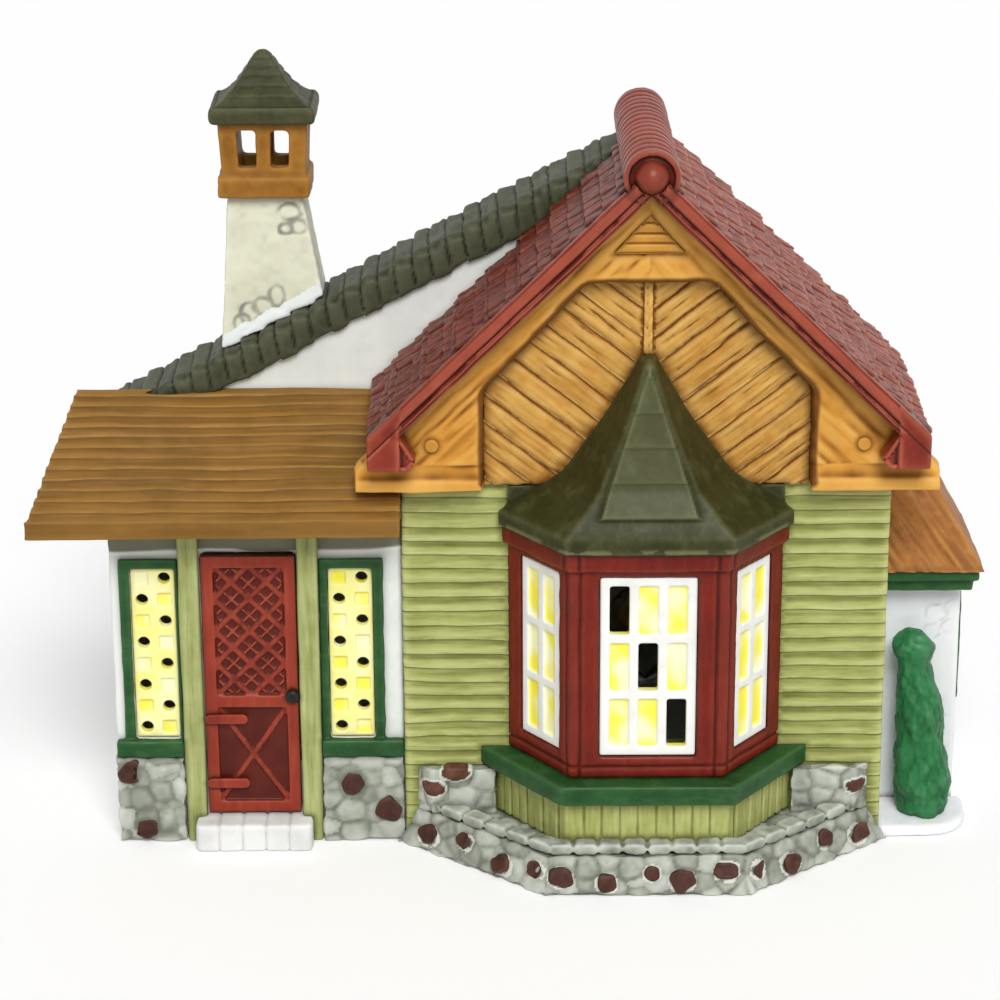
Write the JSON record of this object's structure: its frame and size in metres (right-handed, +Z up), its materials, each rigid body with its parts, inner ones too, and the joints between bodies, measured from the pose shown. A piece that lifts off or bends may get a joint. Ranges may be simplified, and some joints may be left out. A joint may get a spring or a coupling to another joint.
{
  "type": "ceramic village house",
  "caption": "Lighted porcelain village house: a gabled cottage with a bay window, side entry, lean-to and chimney, hollow and open below, with a clip-in lamp and bulb in its back wall.",
  "frame": {"origin": "on the base plane, under the middle of the main front wall's face", "axes": "+X to the house's right and its longest way, +Y to its back, +Z up"},
  "size_m": [0.2085, 0.0863, 0.1715],
  "materials": {
    "clapboard_olive": "matte painted bisque",
    "gable_ochre": "matte painted bisque",
    "roof_red": "satin painted bisque",
    "shingle_green": "matte painted bisque",
    "bisque_white": "matte bisque",
    "board_brown": "matte painted bisque",
    "door_red": "satin painted bisque",
    "latch_black": "satin paint",
    "window_yellow": "matte painted bisque",
    "trim_green": "satin painted bisque",
    "stone_grey": "matte washed bisque",
    "stone_brown": "matte painted bisque",
    "shrub_green": "matte painted bisque",
    "lamp_plastic": "matt moulded",
    "brass": "drawn",
    "spring_steel": "plain",
    "bulb_glass": "clear"
  },
  "bodies": {
    "house": {"front_wall": "clapboard_olive", "entry_posts": "clapboard_olive", "entry_header": "clapboard_olive", "bay_apron": "clapboard_olive", "gable_panel": "gable_ochre", "barge_frame": "gable_ochre", "barge_pegs": "gable_ochre", "gable_vent": "gable_ochre", "chimney_lantern": "gable_ochre", "red_roof_left": "roof_red", "red_roof_right": "roof_red", "ridge_roll": "roof_red", "rake_left": "roof_red", "rake_right": "roof_red", "catslide_roof": "shingle_green", "chimney_cap": "shingle_green", "bay_roof": "shingle_green", "left_wall": "bisque_white", "wing_gable": "bisque_white", "back_wall": "bisque_white", "entry_front": "bisque_white", "main_right_wall": "bisque_white", "leanto_walls": "bisque_white", "chimney_stack": "bisque_white", "snow_pad": "bisque_white", "door_step": "bisque_white", "entry_roof": "board_brown", "leanto_roof": "board_brown", "front_door": "door_red", "door_hinges": "door_red", "bay_frame": "door_red", "door_latch": "latch_black", "entry_window_left": "window_yellow", "entry_window_right": "window_yellow", "bay_window_front": "window_yellow", "bay_window_left": "window_yellow", "bay_window_right": "window_yellow", "leanto_window": "window_yellow", "entry_frame_left": "trim_green", "entry_frame_right": "trim_green", "leanto_window_frame": "trim_green", "bay_sill": "trim_green", "leanto_fascia": "trim_green", "plinth": "stone_grey", "kerb_stones": "stone_grey", "bay_dado": "stone_grey", "entry_dado": "stone_grey", "plinth_stones": "stone_brown", "entry_stones": "stone_brown", "shrub": "shrub_green"},
    "lamp": {"lamp_holder": "lamp_plastic", "screw_shell": "brass", "centre_contact": "brass", "lamp_clip": "spring_steel"},
    "bulb": {"bulb_base": "brass", "bulb_tip": "brass", "bulb_glass": "bulb_glass", "bulb_stem": "bulb_glass", "filament": "spring_steel"}
  },
  "joints": [
    {"name": "lamp_pull", "type": "slide", "parent": "house", "child": "lamp", "axis": [0, 1, 0], "range_m": [0, 0.07]},
    {"name": "bulb_turn", "type": "hinge", "parent": "lamp", "child": "bulb", "pos_m": [0, 0.04, 0.042], "axis": [0, -1, 0], "range_deg": [0, 1440]}
  ]
}
